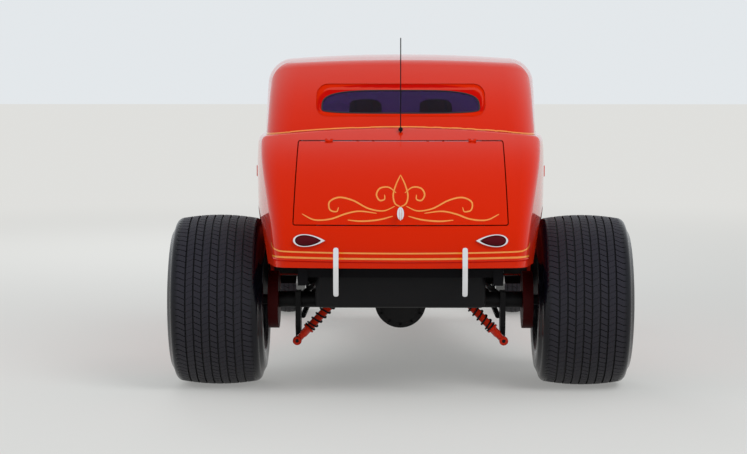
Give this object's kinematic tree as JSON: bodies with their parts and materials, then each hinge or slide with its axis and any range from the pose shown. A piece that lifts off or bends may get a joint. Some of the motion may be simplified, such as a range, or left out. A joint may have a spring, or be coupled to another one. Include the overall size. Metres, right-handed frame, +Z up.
{
  "type": "fenderless hot rod coupe",
  "caption": "Chopped two-door coupe without fenders on exposed frame rails, with very wide rear tyres and a rear decklid that opens.",
  "frame": {"origin": "on the ground, at the middle of the car's length and width", "axes": "+Y forward, +X to the car's right, +Z up"},
  "size_m": [2.2466, 3.96, 1.706],
  "materials": {
    "body_paint": "gloss orange-red",
    "chassis_black": "satin black",
    "chrome_trim": "polished",
    "window_glass": "clear",
    "lamp_glass": "clear",
    "lamp_red": "gloss",
    "tyre_rubber": "dressed",
    "wheel_metal": "polished",
    "upholstery": "satin",
    "iron": "painted",
    "core": "matt black",
    "cabin_trim": "matt",
    "antenna_metal": "dark"
  },
  "bodies": {
    "chassis": {"antenna": "antenna_metal", "body_rear": "body_paint", "bumper_bars": "chrome_trim", "cowl": "body_paint", "dashboard": "body_paint", "engine": "iron", "exhaust": "chrome_trim", "floor": "cabin_trim", "frame": "body_paint", "front_axle": "chrome_trim", "front_radius_rods": "chrome_trim", "front_spring": "chassis_black", "fuel_tank": "chassis_black", "grille_bars": "chrome_trim", "grille_shell": "body_paint", "headlight_lenses": "lamp_glass", "headlights": "chrome_trim", "hood_sides": "body_paint", "radiator": "core", "rear_axle": "chassis_black", "rear_coilovers": "body_paint", "rear_drums": "body_paint", "rear_radius_arms": "chassis_black", "rear_window": "window_glass", "roof": "body_paint", "seat": "upholstery", "steering_column": "chrome_trim", "taillight_bezels": "chrome_trim", "taillight_lenses": "lamp_red", "windshield": "window_glass"},
    "door_left": {"door_left": "body_paint", "door_glass_left": "window_glass"},
    "door_right": {"door_right": "body_paint", "door_glass_right": "window_glass"},
    "decklid": {"decklid": "body_paint", "decklid_handle": "chrome_trim"},
    "hood_top_left": {"hood_top_left": "body_paint"},
    "hood_top_right": {"hood_top_right": "body_paint"},
    "knuckle_left": {"knuckle_left": "chassis_black"},
    "knuckle_right": {"knuckle_right": "chassis_black"},
    "tie_rod": {"tie_rod": "chrome_trim"},
    "steering_wheel": {"steering_wheel": "cabin_trim"},
    "wheel_front_left": {"tyre_front_left": "tyre_rubber", "rim_front_left": "wheel_metal"},
    "wheel_front_right": {"tyre_front_right": "tyre_rubber", "rim_front_right": "wheel_metal"},
    "wheel_rear_left": {"tyre_rear_left": "tyre_rubber", "rim_rear_left": "wheel_metal"},
    "wheel_rear_right": {"tyre_rear_right": "tyre_rubber", "rim_rear_right": "wheel_metal"}
  },
  "joints": [
    {"name": "door_left_hinge", "type": "hinge", "parent": "chassis", "child": "door_left", "pos_m": [-0.735, -0.712, 0.9], "axis": [0, 0, 1], "range_deg": [0, 65]},
    {"name": "hood_top_left_hinge", "type": "hinge", "parent": "chassis", "child": "hood_top_left", "pos_m": [0, 1.1125, 1.145], "axis": [0, 0.9978, -0.0662], "range_deg": [0, 70]},
    {"name": "steer_left", "type": "hinge", "parent": "chassis", "child": "knuckle_left", "pos_m": [-0.595, 1.655, 0.325], "axis": [0, 0, 1], "range_deg": [-25, 25]},
    {"name": "spin_front_left", "type": "hinge", "parent": "knuckle_left", "child": "wheel_front_left", "pos_m": [-0.71, 1.655, 0.325], "axis": [1, 0, 0], "continuous": true},
    {"name": "spin_rear_left", "type": "hinge", "parent": "chassis", "child": "wheel_rear_left", "pos_m": [-0.892, -1.19, 0.419], "axis": [1, 0, 0], "continuous": true},
    {"name": "door_right_hinge", "type": "hinge", "parent": "chassis", "child": "door_right", "pos_m": [0.735, -0.712, 0.9], "axis": [0, 0, -1], "range_deg": [0, 65]},
    {"name": "hood_top_right_hinge", "type": "hinge", "parent": "chassis", "child": "hood_top_right", "pos_m": [0, 1.1125, 1.145], "axis": [0, -0.9978, 0.0662], "range_deg": [0, 70]},
    {"name": "steer_right", "type": "hinge", "parent": "chassis", "child": "knuckle_right", "pos_m": [0.595, 1.655, 0.325], "axis": [0, 0, 1], "range_deg": [-25, 25]},
    {"name": "spin_front_right", "type": "hinge", "parent": "knuckle_right", "child": "wheel_front_right", "pos_m": [0.71, 1.655, 0.325], "axis": [1, 0, 0], "continuous": true},
    {"name": "spin_rear_right", "type": "hinge", "parent": "chassis", "child": "wheel_rear_right", "pos_m": [0.892, -1.19, 0.419], "axis": [1, 0, 0], "continuous": true},
    {"name": "decklid_hinge", "type": "hinge", "parent": "chassis", "child": "decklid", "pos_m": [0, -1.56, 1.2195], "axis": [-1, 0, 0], "range_deg": [0, 60]},
    {"name": "tie_rod_pivot", "type": "hinge", "parent": "knuckle_left", "child": "tie_rod", "pos_m": [-0.595, 1.525, 0.249], "axis": [0, 0, 1], "range_deg": [-25, 25]},
    {"name": "steering_wheel_turn", "type": "hinge", "parent": "chassis", "child": "steering_wheel", "pos_m": [-0.33, -0.128, 0.99], "axis": [0, -0.9409, 0.3387], "range_deg": [-360, 360]}
  ],
  "couplings": [
    {"joint": "steer_right", "follows": "steer_left", "ratio": 1},
    {"joint": "tie_rod_pivot", "follows": "steer_left", "ratio": -1},
    {"joint": "steering_wheel_turn", "follows": "steer_left", "ratio": 14.4}
  ]
}
